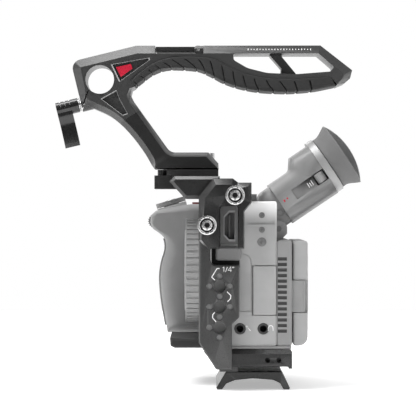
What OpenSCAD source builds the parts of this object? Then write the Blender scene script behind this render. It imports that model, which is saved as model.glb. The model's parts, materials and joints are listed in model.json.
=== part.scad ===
// Compact cinema camera in a half cage with a top handle, in millimetres.
// +X points to the rear (eyepiece side), +Y to the hand-grip side, +Z up.
// The origin is on the standing surface, under the middle of the rig.

/* [Camera] */
// Outer face of the port side, along Y
port_side_y = -60; // [-61:0.5:-59]
// Height of the underside of the camera above the surface
cam_z0 = 20.9; // [20.6:0.1:21.2]
// Height of the camera top above the surface
cam_z1 = 96.6; // [96:0.1:97]
// Wall of the camera casings
wall = 2.2; // [1.8:0.1:2.6]
// Place of the lens axis along Y
lens_y = -12; // [-13:0.5:-11]
// Height of the lens axis above the surface
lens_z = 60; // [59:0.5:61]
// Radius of the body cap
cap_r = 27.5; // [26.5:0.5:28.5]

/* [Viewfinder] */
// Upward tilt of the viewfinder barrel in degrees
evf_tilt = 34; // [32:1:36]
// Width of the viewfinder barrel
evf_w = 33; // [31:1:35]

/* [Cage] */
// Outer face of the cage side plate, along Y
cage_y = -68.5; // [-69.5:0.5:-68]
// Thickness of the cage side plate
plate_t = 6.5; // [6:0.1:7]
// Radius of the 1/4 inch accessory threads
thread_r = 3.2; // [3.1:0.05:3.3]
// Radius of the locating-pin holes
pin_hole_r = 1.5; // [1.4:0.1:1.8]
// Width of the dovetail foot
dovetail_w = 38; // [37.5:0.1:38.5]

/* [Handle] */
// Width of the top handle
handle_w = 29; // [27:1:31]
// Radius of the rod clamp bore for a 15 mm rod
rod_r = 7.55; // [7.5:0.01:7.6]
// Width of the rubber grip
rubber_w = 31; // [30:0.5:33]
// Width of the clamp lever blade
lever_w = 8; // [7:0.5:9]

/* [Hidden] */
$fn = 48;
small_r = 0.95;         // corners under this radius stay sharp

cam_y1 = 38;            // the box of the body ends here and the grip begins
body_x0 = 1;            // front face of the body
body_x1 = 35.3;         // seam between the front and the rear casing
rear_x1 = 43.1;         // back face of the rear casing
handle_y0 = lens_y - handle_w / 2;
handle_y1 = lens_y + handle_w / 2;
rod_x = -57.1;
rod_z = 161;

// ---------- outline helpers: every outline is a counter-clockwise list in X and Z ----------

// One corner q between p and s, rounded to radius r with n steps. c is carried as third value.
function corner(p, q, s, r, c, n) =
    let (a = [p[0] - q[0], p[1] - q[1]] / norm([p[0] - q[0], p[1] - q[1]]),
         b = [s[0] - q[0], s[1] - q[1]] / norm([s[0] - q[0], s[1] - q[1]]),
         half = acos(max(-1, min(1, a * b))) / 2)
    (r < small_r || half > 89.5) ? [[q[0], q[1], c]] :
    let (t = r / tan(half), m = (a + b) / norm(a + b),
         o = [q[0], q[1]] + m * r / sin(half),
         u = [q[0], q[1]] + a * t - o, v = [q[0], q[1]] + b * t - o,
         sweep = 180 - 2 * half, turn = (u[0] * v[1] - u[1] * v[0]) > 0 ? 1 : -1)
    [for (k = [0:n]) let (g = turn * sweep * k / n)
        [o[0] + u[0] * cos(g) - u[1] * sin(g), o[1] + u[0] * sin(g) + u[1] * cos(g), c]];

// A closed outline from corners [x, z, radius, chamfer].
function rounded(pts, n = 5) =
    [for (i = [0:len(pts) - 1])
        let (p = pts[(i + len(pts) - 1) % len(pts)], q = pts[i], s = pts[(i + 1) % len(pts)])
        each corner(p, q, s, q[2], len(q) > 3 ? q[3] : 1, n)];

// A smooth open curve through knots [x, z], n steps between neighbours, chamfer share c.
function smooth(k, n = 4, c = 0) =
    [for (i = [0:len(k) - 2], j = [0:n - 1])
        let (p0 = k[max(i - 1, 0)], p1 = k[i], p2 = k[i + 1], p3 = k[min(i + 2, len(k) - 1)],
             t = j / n, q = 0.5 * ((2 * p1) + (p2 - p0) * t + (2 * p0 - 5 * p1 + 4 * p2 - p3) * t * t
                 + (3 * p1 - p0 - 3 * p2 + p3) * t * t * t))
        [q[0], q[1], c]];

function last(k, c = 0) = [k[len(k) - 1][0], k[len(k) - 1][1], c];
function backwards(a) = [for (i = [len(a) - 1:-1:0]) a[i]];
function flat(pts) = [for (p = pts) [p[0], p[1]]];

// The outline moved inwards by d times each point's own chamfer share.
function inset(pts, d) =
    [for (i = [0:len(pts) - 1])
        let (m = len(pts), p = pts[(i + m - 1) % m], q = pts[i], s = pts[(i + 1) % m],
             e = [q[0] - p[0], q[1] - p[1]] / norm([q[0] - p[0], q[1] - p[1]]),
             f = [s[0] - q[0], s[1] - q[1]] / norm([s[0] - q[0], s[1] - q[1]]),
             u = [-e[1], e[0]], v = [-f[1], f[0]])
        [q[0] + d * q[2] * (u[0] + v[0]) / (1 + u * v), q[1] + d * q[2] * (u[1] + v[1]) / (1 + u * v)]];

// A closed solid through rings of the same length; ring k is an outline in X and Z at y[k].
module loft(rings, ys) {
    m = len(rings[0]);
    points = [for (k = [0:len(rings) - 1], p = rings[k]) [p[0], ys[k], p[1]]];
    near = [[for (i = [m - 1:-1:0]) i]];
    far = [[for (i = [0:m - 1]) (len(rings) - 1) * m + i]];
    sides = [for (k = [0:len(rings) - 2], i = [0:m - 1]) let (a = k * m + i, b = k * m + (i + 1) % m)
        each [[a, b, b + m], [a, b + m, a + m]]];
    // resize() with zeros keeps the size, and has the concave end faces triangulated properly.
    resize([0, 0, 0]) polyhedron(points, concat(near, sides, far), convexity = 8);
}

// A plate along Y with a 45 degree edge of depth c at both faces.
module plate(pts, y0, y1, c) {
    loft([inset(pts, c), flat(pts), flat(pts), inset(pts, c)], [y0, y0 + c, y1 - c, y1]);
}

// A plate along Y with both edges rounded to r.
module pillow(pts, y0, y1, r, n = 3) {
    a = [for (k = [0:n]) 90 * k / n];
    loft(concat([for (g = a) inset(pts, r * (1 - sin(g)))],
                [for (g = backwards(a)) inset(pts, r * (1 - sin(g)))]),
         concat([for (g = a) y0 + r * (1 - cos(g))], [for (g = backwards(a)) y1 - r * (1 - cos(g))]));
}

// A straight plate along Y.
module slab(pts, y0, y1) {
    translate([0, y1, 0]) rotate([90, 0, 0]) linear_extrude(y1 - y0) polygon(flat(pts));
}

// A box between two corners.
module box(a, b) {
    translate(a) cube(b - a);
}

// Cylinders along Y and along X, from one place to another.
module ycyl(x, z, r, y0, y1, fn = 48) {
    translate([x, y0, z]) rotate([-90, 0, 0]) cylinder(r = r, h = y1 - y0, $fn = fn);
}
module xcyl(y, z, r, x0, x1, fn = 48) {
    translate([x0, y, z]) rotate([0, 90, 0]) cylinder(r = r, h = x1 - x0, $fn = fn);
}

// A rectangle outline with one corner radius.
function rect(x0, z0, x1, z1, r, c = 1) = rounded([[x0, z0, r, c], [x1, z0, r, c], [x1, z1, r, c],
    [x0, z1, r, c]]);

// ---------- camera ----------

hdmi_x = 11;
hdmi_z = 84;

module front_casing() color("silver") {
    casing_shell();
    translate([lid_at[0], lid_at[1], 37.5]) cylinder(r = 0.3, h = 27, $fn = 24);
}

// Outline of the soft cover beside the port lid, drawn as a shallow groove.
function cover_line(d) = [[4, 40 + d, 0], [22.4 - d, 40 + d, 0], [22.4 - d, 69.9 - d, 4.4 - d],
    [4, 69.9 - d, 0]];
module casing_shell() difference() {
    plate(rect(body_x0, cam_z0 + 1.6, body_x1, cam_z1, 1.2), port_side_y, cam_y1, 0.8);
    box([body_x0 + wall, port_side_y + wall, cam_z0 + 1.6 + wall],
        [body_x1 + 1, cam_y1 - wall, cam_z1 + 1]);
    xcyl(lens_y, lens_z, 23, body_x0 - 1, body_x0 + wall + 1, 96);
    box([hdmi_x - 3.4, port_side_y - 1, hdmi_z - 8.4], [hdmi_x + 3.4, port_side_y + wall + 1, hdmi_z + 8.4]);
    box([22.5, port_side_y - 1, 38], [body_x1 + 1, port_side_y + 1.6, 63.9]);
    box([25.5, port_side_y - 1, 43], [31.5, port_side_y + wall + 1, 53]);
    for (x = jack_x) ycyl(x, jack_z, 3, port_side_y - 1, port_side_y + wall + 1);
    for (s = side_screw) ycyl(s[0], s[1], s[2], port_side_y - 1, port_side_y + 1);
    box([20.5, port_side_y - 1, 84.8], [34, port_side_y + 0.7, 86.8]);
    difference() {
        slab(rounded(cover_line(0)), port_side_y - 1, port_side_y + 0.5);
        slab(rounded(cover_line(0.6)), port_side_y - 2, port_side_y + 2);
        box([3, port_side_y - 2, 39], [16.4, port_side_y + 2, 71]);
    }
}

module top_deck() color("darkgray") difference() {
    box([body_x0 + wall + 0.05, port_side_y + wall + 0.05, cam_z1 - wall],
        [body_x1 - 0.05, cam_y1 - wall - 0.05, cam_z1]);
    box([14, -51.4, cam_z1 - wall - 1], [body_x1 + 1, -16.6, cam_z1 + 1]);
}

module rear_casing() color("dimgray") {
    difference() {
        union() {
            plate(rect(body_x1, cam_z0 + 1.6, rear_x1, 76.6, 1.2), port_side_y + 0.6, cam_y1, 0.6);
            box([body_x1, -14, 76], [rear_x1 - 3, cam_y1 - 0.6, cam_z1 - 1]);
        }
        box([body_x1 - 1, port_side_y + 0.6 + wall, cam_z0 + 1.6 + wall], [rear_x1 - wall, cam_y1 - wall, 74]);
        difference() {
            box([body_x1 - 1, -14 + wall, 73], [rear_x1 - 3 - wall, cam_y1 - 0.6 - wall, cam_z1 - 1 - wall]);
            xcyl(24, 85, 7.6, rear_x1 - 7.4, rear_x1 - 5);
        }
        for (k = [0:13]) box([body_x1 + 0.5, port_side_y - 1, 29.2 + 2.85 * k],
                             [body_x1 + 5.2, port_side_y + 0.6 + wall + 1, 30.9 + 2.85 * k]);
        xcyl(24, 85, 6.2, rear_x1 - 6, rear_x1 + 1);
    }
    xcyl(24, 85, 1.5, rear_x1 - 7, rear_x1 - 2.4, 32);
}

module base_cover() color("dimgray") difference() {
    plate(rounded([[body_x0, cam_z0, 0.8], [rear_x1 - 0.3, cam_z0, 0.8],
        [rear_x1 - 0.3, cam_z0 + 1.55, 0.2], [body_x0, cam_z0 + 1.55, 0.2]]),
          port_side_y + 0.3, cam_y1, 0.4);
    translate([22, lens_y, cam_z0 - 1]) cylinder(r = 3.3, h = 8);
}

module mount_ring() color("silver") difference() {
    union() {
        xcyl(lens_y, lens_z, 30, -2.6, body_x0 - 0.02, 128);
        xcyl(lens_y, lens_z, 22.9, body_x0 - 0.05, body_x0 + 4, 96);
    }
    xcyl(lens_y, lens_z, 20.4, -4, 8, 96);
    xcyl(lens_y, lens_z, 22, -3, -0.6, 96);
}

module body_cap() color("gray") {
    difference() {
        xcyl(lens_y, lens_z, cap_r, -11.9, -2.9, 128);
        xcyl(lens_y, lens_z, cap_r - 2.4, -9.6, -2, 96);
        for (k = [0:47]) translate([-11, lens_y, lens_z]) rotate([360 * k / 48, 0, 0])
            translate([0, cap_r - 0.5, -0.55]) cube([9, 2, 1.1]);
    }
    difference() {
        xcyl(lens_y, lens_z, 20, -9.7, 0.5, 96);
        xcyl(lens_y, lens_z, 18, -9, 1, 96);
    }
}

module image_sensor() color("darkslateblue") {
    box([14, lens_y - 21, lens_z - 15], [16.5, lens_y + 21, lens_z + 15]);
    box([12.8, lens_y - 18, lens_z - 12], [14.05, lens_y + 18, lens_z + 12]);
}

module main_board() color("darkgreen") {
    box([20, -44, 28], [21.6, 34, 72]);
    box([21.55, lens_y - 9, 44], [23.2, lens_y + 9, 62]);
}

fan_y = 12;
fan_z = 50;
module fan_frame() color("dimgray") difference() {
    box([25, fan_y - 16, fan_z - 16], [34, fan_y + 16, fan_z + 16]);
    xcyl(fan_y, fan_z, 14.5, 26.5, 35);
    xcyl(fan_y, fan_z, 2.05, 24, 30);
}

module fan_rotor() color("black") {
    xcyl(fan_y, fan_z, 2, 25.2, 31);
    xcyl(fan_y, fan_z, 6, 27.5, 33);
    for (k = [0:6]) translate([27.7, fan_y, fan_z]) rotate([360 * k / 7, 0, 0]) rotate([0, 18, 0])
        translate([1.2, 5.2, -0.5]) cube([3.5, 7.6, 1]);
}

grip_y1 = 72.6;
// Side view of the hand grip, from the base up the front to the top.
grip_front = [[-23.2, 27.9], [-25.7, 42.5], [-26.6, 54.5], [-25.6, 63], [-23.6, 70], [-24.2, 76],
              [-27.5, 79.4], [-30.9, 81.8], [-32.2, 85.4]];
// The third value is the share of the edge rounding: little at the narrow finger stop.
function grip_outline() = concat(
    [[34.9, 23.9, 0.6], [34.9, 95.4, 0.6], [-9.5, 95.4, 0.6], [-20, 93.7, 0.5], [-29, 91.7, 0.3],
        [-31.8, 89.2, 0.25]],
    backwards([for (p = concat(smooth(grip_front, 3), [last(grip_front)]))
        [p[0], p[1], min(1, max(0.25, 0.25 + (79 - p[1]) / 10))]]),
    [[-22.6, 23.9, 0.6]]);

module grip_shell() color("gray") {
    difference() {
        union() {
            pillow(grip_outline(), cam_y1 + 0.02, grip_y1, 6.5, 4);
            translate(button_at) rotate([0, button_lean, 0]) translate([0, 0, -6])
                cylinder(r = 8.4, h = 6.6, $fn = 64);
            for (y = [door_y[0] - 1.7, door_y[1] + 0.3]) {
                ycyl(door_at[0], door_at[1], 1.4, y, y + 1.4, 32);
                box([door_at[0] - 1.4, y, door_at[1]], [door_at[0] + 1.4, y + 1.4, 25]);
            }
        }
        box([-20.5, cam_y1 + 5, 20], [0, 64, 78]);
        box([3, cam_y1 - 1, 29], [30, 63, 88]);
        button_seat(4.6, 3.4);
        translate(front_dial_at) rotate([0, -30, 0]) box([-6, -5.4, -4.6], [4.4, 5.4, 4.6]);
        translate([-6, 62, 92.4]) cylinder(r = 3.3, h = 6);
    }
    for (y = [door_y[0] - 0.6, door_y[1] - 1.2]) ycyl(door_at[0], door_at[1], 0.7, y, y + 1.8, 32);
}

grip_skin_t = 0.8;
module grip_skin() color("dimgray") intersection() {
    difference() {
        slab(inset1(grip_outline(), -grip_skin_t), cam_y1 + 6.7, grip_y1 - 6.7);
        slab(inset1(grip_outline(), -0.04), cam_y1 + 6, grip_y1 - 6);
    }
    box([-40, cam_y1, 28], [-8, 80, 76]);
}
function inset1(pts, d) = inset([for (p = pts) [p[0], p[1], 1]], d);

module battery_pack() color("dimgray") plate(rect(-20, 24.2, -0.5, 77, 1), cam_y1 + 5.4, 63.6, 0.8);

door_at = [-0.9, 22.3];
door_y = [cam_y1 + 5.4, 63.6];
module battery_door() color("gray") difference() {
    union() {
        plate(rect(-20.2, 20.9, -2.6, 23.4, 0.6), door_y[0], door_y[1], 0.4);
        ycyl(door_at[0], door_at[1], 1.3, door_y[0], door_y[1], 32);
        box([-3.4, door_y[0], 21.4], [door_at[0], door_y[1], 23]);
    }
    ycyl(door_at[0], door_at[1], 0.75, door_y[0] - 1, door_y[0] + 1.6, 32);
    ycyl(door_at[0], door_at[1], 0.75, door_y[1] - 1.6, door_y[1] + 1, 32);
}

button_at = [-20.3, 54, 94.2];
button_lean = -16;
module button_seat(r, d) translate(button_at) rotate([0, button_lean, 0]) translate([0, 0, -d])
    cylinder(r = r, h = 20);
module shutter_button() color("silver") translate(button_at) rotate([0, button_lean, 0]) {
    translate([0, 0, 1.6]) rotate_extrude() polygon([[0, 0], [3.5, 0], [3.5, 1.2], [3, 2.1], [1.8, 2.5],
        [0, 2.6]]);
    translate([0, 0, -2]) cylinder(r = 1.5, h = 4);
}
module zoom_lever() color("dimgray") translate(button_at) rotate([0, button_lean, 0]) {
    difference() {
        union() {
            translate([0, 0, 0.9]) cylinder(r = 8.4, h = 2.6, $fn = 64);
            translate([-1.5, 6, 0.9]) cube([3, 4.6, 2.6]);
            translate([0, 0, -1.2]) cylinder(r = 4.3, h = 3);
        }
        translate([0, 0, -2]) cylinder(r = 2.6, h = 3.5);
        translate([0, 0, 0.2]) cylinder(r = 3.8, h = 4);
    }
}

front_dial_at = [-29.6, 54, 85.9];
module front_dial() color("gray") translate(front_dial_at) rotate([0, -30, 0]) {
    difference() {
        translate([0, -5, 0]) rotate([-90, 0, 0]) cylinder(r = 4, h = 10);
        for (k = [0:19]) rotate([0, 18 * k, 0]) translate([3.6, -6, -0.35]) cube([1, 12, 0.7]);
    }
}

module record_button() color("firebrick") translate([-6, 62, 93.8]) {
    cylinder(r = 2.95, h = 2.7);
}

module control_dial() color("dimgray") difference() {
    xcyl(24, 85, 5.85, rear_x1 - 5.7, rear_x1 - 1.2);
    xcyl(24, 85, 1.55, rear_x1 - 6, rear_x1 - 2, 32);
    for (k = [0:23]) translate([rear_x1 - 6, 24, 85]) rotate([15 * k, 0, 0]) translate([0, 5.5, -0.35])
        cube([6, 1, 0.7]);
}

module top_buttons() color("silver") for (p = [[14, 50], [22, 50], [14, 60], [24, 60]])
    translate([p[0], p[1], 95.45]) cylinder(r1 = 2.2, r2 = 1.9, h = 0.9);

shoe_y = -4;
module accessory_shoe() color("silver") difference() {
    box([8, shoe_y - 10.5, cam_z1 + 0.02], [26, shoe_y + 10.5, cam_z1 + 4]);
    box([7, shoe_y - 9.3, cam_z1 + 1.3], [24.5, shoe_y + 9.3, cam_z1 + 3]);
    box([7, shoe_y - 6.3, cam_z1 + 1.3], [24.5, shoe_y + 6.3, cam_z1 + 5]);
}

function hdmi_outline(k) = [[hdmi_x - 2.8 * k, hdmi_z - 4.6 * k], [hdmi_x - 0.2 * k, hdmi_z - 7.4 * k],
    [hdmi_x + 2.8 * k, hdmi_z - 7.4 * k], [hdmi_x + 2.8 * k, hdmi_z + 7.4 * k],
    [hdmi_x - 0.2 * k, hdmi_z + 7.4 * k], [hdmi_x - 2.8 * k, hdmi_z + 4.6 * k]];
module hdmi_socket() color("gray") {
    difference() {
        union() {
            slab(hdmi_outline(1.1), port_side_y - 0.4, port_side_y + 6.2);
            box([hdmi_x - 5.4, port_side_y - 0.45, hdmi_z - 9.4],
                [hdmi_x + 5.2, port_side_y - 0.05, hdmi_z + 11]);
        }
        slab(hdmi_outline(0.93), port_side_y - 1, port_side_y + 5.4);
    }
    box([hdmi_x - 0.4, port_side_y + 2, hdmi_z - 5.6], [hdmi_x + 0.4, port_side_y + 5.5, hdmi_z + 5.6]);
}

module port_flap() color("lightgray") {
    pillow(rect(3.9, 66.3, 16.9, 73.2, 1.6), port_side_y - 4.6, port_side_y - 0.1, 1.2, 3);
    ycyl(6.6, 73.4, 0.8, port_side_y - 3, port_side_y - 1, 24);
}

lid_at = [23.6, port_side_y + 0.45];
module port_door() color("silver") difference() {
    plate(rect(23.1, 38.35, body_x1 - 0.35, 63.55, 1), port_side_y - 0.1, port_side_y + 0.95, 0.3);
    translate([lid_at[0], lid_at[1], 37]) cylinder(r = 0.35, h = 28, $fn = 24);
}

module usb_socket() color("gray") difference() {
    slab(rect(26, 43.4, 30.6, 52.6, 2), port_side_y + 1.9, port_side_y + 9);
    slab(rect(26.5, 43.9, 30.1, 52.1, 1.6), port_side_y + 1, port_side_y + 8);
}

jack_x = [16.4, 28.35];
jack_z = 31.3;
module audio_jacks() color("dimgray") for (x = jack_x) difference() {
    ycyl(x, jack_z, 2.9, port_side_y + 0.1, port_side_y + 14);
    ycyl(x, jack_z, 1.8, port_side_y - 1, port_side_y + 13);
}

side_screw = [[27.6, 89.5, 1.6], [27.6, 82.1, 1.6], [27.6, 75.8, 2.4]];
module side_screws() color("gray") for (s = side_screw) difference() {
    ycyl(s[0], s[1], s[2] - 0.1, port_side_y + 0.1, port_side_y + 1);
    translate([s[0], 0, s[1]]) box([-s[2] * 0.45, port_side_y - 1, -0.2],
        [s[2] * 0.45, port_side_y + 0.5, 0.2]);
    translate([s[0], 0, s[1]]) box([-0.2, port_side_y - 1, -s[2] * 0.45],
        [0.2, port_side_y + 0.5, s[2] * 0.45]);
}

module strap_lug() color("silver") translate([2, grip_y1 - 0.2, 86]) difference() {
    box([-4, 0.25, -4], [4, 2, 4]);
    translate([0, 0, 0]) box([-2.6, -2, -1], [2.6, 3, 1.6]);
}

// ---------- monitor ----------

lcd_hinge_x = 47.75;
lcd_hinge_y = -55.5;
lcd_knuckle = [39.7, 56];
module lcd_hinge() color("dimgray") {
    translate([lcd_hinge_x, lcd_hinge_y, lcd_knuckle[0]]) cylinder(r = 2.2,
        h = lcd_knuckle[1] - lcd_knuckle[0]);
    box([rear_x1, lcd_hinge_y - 2, lcd_knuckle[0]], [lcd_hinge_x, lcd_hinge_y + 2, lcd_knuckle[1]]);
    translate([lcd_hinge_x, lcd_hinge_y, lcd_knuckle[0] - 4]) cylinder(r = 1, h = 24.3, $fn = 32);
}
module lcd_housing() color("gray") difference() {
    pillow(rounded([[rear_x1 + 0.5, 22.4, 1.5], [51.3, 22.4, 4.5], [51.3, 76.3, 1.5],
        [rear_x1 + 0.5, 76.3, 1.5]]), -57, 22, 1.2, 3);
    box([rear_x1, -58, lcd_knuckle[0] - 0.4], [52, lcd_hinge_y + 2.7, lcd_knuckle[1] + 0.4]);
    translate([lcd_hinge_x, lcd_hinge_y, lcd_knuckle[0] - 4.4]) cylinder(r = 1.05, h = 25.1, $fn = 32);
    box([rear_x1 - 1, -50, 27], [rear_x1 + 1.4, 17, 72]);
}
module lcd_screen() color("black") box([rear_x1 + 0.62, -49.8, 27.2], [rear_x1 + 1.4, 16.8, 71.8]);

// ---------- viewfinder ----------

evf_y = -34;
evf_y0 = evf_y - evf_w / 2;
evf_y1 = evf_y + evf_w / 2;
evf_at = [44.3, 0, 85.4];
pivot = [36.5, 82.5];
// The barrel is drawn along its own axis, from its lower front corner.
module evf_frame() translate(evf_at) rotate([0, -evf_tilt, 0]) children();

module evf_base() color("dimgray") difference() {
    union() {
        difference() {
            box([13, evf_y - 19.2, 76.9], [35.2, evf_y + 19.2, cam_z1 - wall - 0.05]);
            box([14.2, evf_y - 18, 78.2], [36, evf_y + 18, cam_z1]);
        }
        for (y = [evf_y - 16.6, evf_y + 13.2]) {
            slab(rounded([[30, 77, 0], [38, 77, 1], [40.9, 80, 1], [40.9, 84.5, 3], [37, 87, 3],
                [30, 86, 1]]), y, y + 3.4);
        }
    }
    ycyl(pivot[0], pivot[1], 1.5, evf_y - 20, evf_y + 20, 48);
}

module evf_hinge_pin() color("silver") ycyl(pivot[0], pivot[1], 1.5, evf_y - 16.6, evf_y + 16.6);

evf_h = 23.6;
barrel_l = 28.2;
module evf_barrel() color("gray") difference() {
    union() {
        evf_frame() intersection() {
            pillow(rounded([[-10, 0, 0], [38, 0, 0], [38, 29.2, 0], [17.5, 29.2, 0], [13.1, evf_h, 3],
                [-10, evf_h, 0]]),
                   evf_y0, evf_y1, 7.5, 4);
            box([0, evf_y0 - 1, -1], [barrel_l, evf_y1 + 1, 32]);
        }
        evf_frame() pillow(rounded([[-9.6, 1, 2], [2, 1, 0], [2, evf_h - 1, 0],
            [-9.6, evf_h - 1, 5]]), evf_y - 12.8, evf_y + 12.8, 1.5, 2);
        slab([for (g = [0:15:345]) [pivot[0] + 3.6 * cos(g), pivot[1] + 3.6 * sin(g)]],
            evf_y - 12.8, evf_y + 12.8);
    }
    ycyl(pivot[0], pivot[1], 1.55, evf_y - 20, evf_y + 20);
    evf_frame() xcyl(evf_y, 12.5, 9.6, 3, 40);
    evf_frame() box([8.4, evf_y0 - 1, 9], [28.6, evf_y0 + 0.9, 15]);
    evf_frame() difference() {
        box([21.2, evf_y0 - 1, 8.9], [28.4, evf_y0 + 5.6, 15.1]);
        translate([24.8, evf_y0 + 2.7, 8]) cylinder(r = 0.6, h = 8, $fn = 24);
    }
}

// An oval in Y and Z, centred on the barrel, drawn as a plate along the barrel axis.
evf_mid = 15.4;
function oval(w, h, n = 48) = [for (k = [0:n - 1]) let (g = 360 * k / n)
    [-evf_y + w / 2 * sign(cos(g)) * pow(abs(cos(g)), 0.85), evf_mid - h / 2 * sign(sin(g))
        * pow(abs(sin(g)), 0.85)]];
module along_barrel(x0, x1, w, h) translate([x0, 0, 0]) rotate([0, 0, -90]) translate([0, x1 - x0, 0])
    rotate([90, 0, 0]) linear_extrude(x1 - x0) polygon(oval(w, h));

module evf_collar() color("silver") evf_frame() difference() {
    along_barrel(barrel_l + 0.02, barrel_l + 4, 36, 30.8);
    xcyl(evf_y, 13.5, 10.6, 20, 40);
}

// Rubber cup: rings that run out along the flare, over the rim and back inside.
// The rim reaches further back on the grip side, where it shades the eye.
cup_rings = [[0, 0.93, 0], [3, 0.95, 0], [6, 1.05, 0.3], [9.2, 1.15, 1], [9, 1.09, 1], [6.4, 0.97, 0.3],
    [3, 0.86, 0], [0, 0.78, 0]];
module eyecup() color("dimgray") evf_frame() {
    m = 40;
    points = [for (q = cup_rings, k = [0:m - 1]) let (g = 360 * k / m, reach = q[2] * 6.2 * max(0, cos(g)))
        [barrel_l + 4.05 + q[0] + reach, evf_y + 18.2 * q[1] * cos(g), evf_mid + 15.4 * q[1] * sin(g)]];
    faces = [for (r = [0:len(cup_rings) - 1], k = [0:m - 1])
        let (s = (r + 1) % len(cup_rings), j = (k + 1) % m)
        each [[r * m + k, s * m + k, s * m + j], [r * m + k, s * m + j, r * m + j]]];
    polyhedron(points, [for (f = faces) [f[2], f[1], f[0]]], convexity = 6);
}

module evf_lens() color("lightblue") evf_frame() difference() {
    translate([barrel_l - 3, evf_y, 12.5]) rotate([0, 90, 0]) cylinder(r = 9.5, h = 4);
    translate([barrel_l - 18, evf_y, 12.5]) rotate([0, 90, 0]) difference() {
        cylinder(r = 30, h = 40);
        sphere(r = 19.6, $fn = 96);
    }
}

module diopter_wheel() color("lightgray") evf_frame() translate([24.8, evf_y0 + 2.7, 9.4]) difference() {
    cylinder(r = 2.6, h = 5.2);
    translate([0, 0, -1]) cylinder(r = 0.65, h = 8, $fn = 24);
    for (k = [0:15]) rotate(22.5 * k) translate([2.35, -0.25, 0.4]) cube([1, 0.5, 4.4]);
}

// ---------- cage ----------

hole_x = 5.86;
hole_z = [53.2, 42.75, 32.3];
cage_bolt_x = [6.4, 10];
cage_bolt_z = 16.4;
plate_y1 = cage_y + plate_t;
module cage_side_plate() color("#333333") difference() {
    plate(rounded([[4.1, 10.9, 1.5], [12.2, 10.9, 0.6], [12.2, 34.1, 2], [16, 37.5, 2], [16, 64.1, 0.8],
                   [1.2, 64.1, 3], [1.2, 72, 1], [4.6, 76, 1], [4.6, 97.97, 0.3], [-4.7, 97.97, 0.3],
                       [-4.7, 24.4, 3], [2.4, 13.6, 2]]),
          cage_y, plate_y1, 0.7);
    for (z = hole_z) {
        ycyl(hole_x, z, thread_r, cage_y - 1, plate_y1 + 1);
        for (d = [[-5.25, 0], [0, 5.22], [0, -5.22]]) ycyl(hole_x + d[0], z + d[1],
            pin_hole_r, cage_y - 1, plate_y1 + 1);
    }
    for (z = [hole_z[0], hole_z[1]]) ycyl(hole_x + 5.25, z, pin_hole_r, cage_y - 1, plate_y1 + 1);
    ycyl(bracket_bolt[0][0], bracket_bolt[0][1], 1.6, cage_y - 1, cage_y + 5);
    for (x = cage_bolt_x) ycyl(x, cage_bolt_z, 1.6, cage_y + 2.5, plate_y1 + 1);
}

module cage_top_plate() color("#333333") difference() {
    union() {
        plate(rounded([[-11.8, 98, 0.4], [6, 98, 0.4], [6, 109.4, 0.4], [-17.2, 109.4, 0.8],
            [-19.7, 106.8, 0.8]]),
              cage_y + 1.5, lens_y + 17, 1.6);
        plate(rounded([[2, 98, 0.3], [22, 98, 0.3], [22, 105.9, 1], [2, 105.9, 0.3]]), cage_y, evf_y0 - 4, 0.6);
        box([-28.3, lens_y - 13, 103.3], [-12, lens_y + 13, 109.3]);
        box([-28.3, lens_y - 13, 109.2], [-19, lens_y + 13, 110.4]);
    }
    translate([-24.5, lens_y - 8, 106]) cylinder(r = 1.3, h = 10, $fn = 24);
    ycyl(bracket_bolt[1][0], bracket_bolt[1][1], 1.6, cage_y - 2, cage_y + 6);
    for (x = foot_bolt_x) translate([x, lens_y, 103]) cylinder(r = 2, h = 10, $fn = 32);
}

module cage_base_plate() color("#333333") difference() {
    union() {
        plate(rounded([[15, 11.9, 0], [40.9, 11.9, 0], [41.5, 10.9, 0], [43.1, 10.9, 0], [43.1, 19.6, 0],
                       [41.8, 20.85, 0], [-2, 20.85, 0], [-2, 19.4, 0], [3.9, 11.9, 0]]),
              plate_y1 + 0.02, cam_y1, 0.5);
        slab([[6.2, foot_z1 + 0.05], [15.2, foot_z1 + 0.05], [15.2, 13], [4.4, 13]], plate_y1 + 1.2, 30);
    }
    // Broad bevel along the upper edge on the port side.
    translate([-5, plate_y1, 18.5]) rotate([45, 0, 0]) cube([60, 5, 5]);
    translate([22, lens_y, 10]) cylinder(r = 3.25, h = 12);
    translate([22, lens_y, 10]) cylinder(r = 6.6, h = 6);
    for (x = [30.5, 36.3]) ycyl(x, 15.3, 1.3, plate_y1 - 1, plate_y1 + 8);
    for (x = cage_bolt_x) ycyl(x, cage_bolt_z, 1.6, plate_y1 - 1, plate_y1 + 7);
    for (y = foot_bolt_y) translate([foot_x, y, 5]) cylinder(r = 1.8, h = 10, $fn = 32);
}

module cage_front_block() color("#222222")
    plate(rounded([[-17.6, 19.6, 1], [-2.02, 19.6, 0.3], [-2.02, 23.8, 0.3], [-20, 24.8, 0.6],
        [-19.8, 20.8, 1]]),
          -30, 35, 1);

foot_z1 = 9.3;
foot_x = 12;
foot_bolt_y = [-40, 16];
module dovetail_foot() color("#1c1c1c") difference() {
    plate(rounded([[4.6, 0, 0.5], [7.2, 0, 0.5], [9.4, 3, 1], [14, 4.8, 6], [23, 5.7, 20], [33.5, 4.9, 6],
                   [37, 3.2, 1], [38.8, 0, 0.5], [41.8, 0, 0.5], [42.1, 0.9, 0.3], [37.8, foot_z1, 0.4],
                   [9.3, foot_z1, 0.4], [4.3, 0.9, 0.3]]),
          -58, 24, 0.5);
    translate([24.2, lens_y, -1]) cylinder(r = thread_r, h = 12);
    for (y = foot_bolt_y) translate([foot_x, y, 5.7]) cylinder(r = 1.8, h = 10, $fn = 32);
}

module camera_screw() color("silver") translate([22, lens_y, 0]) difference() {
    union() {
        translate([0, 0, 12.6]) cylinder(r = 6.2, h = 3.3);
        translate([0, 0, 12.6]) cylinder(r = 3.1, h = 9.7);
    }
    translate([0, 0, 12]) cylinder(r = 2.3, h = 2.6, $fn = 6);
}

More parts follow.
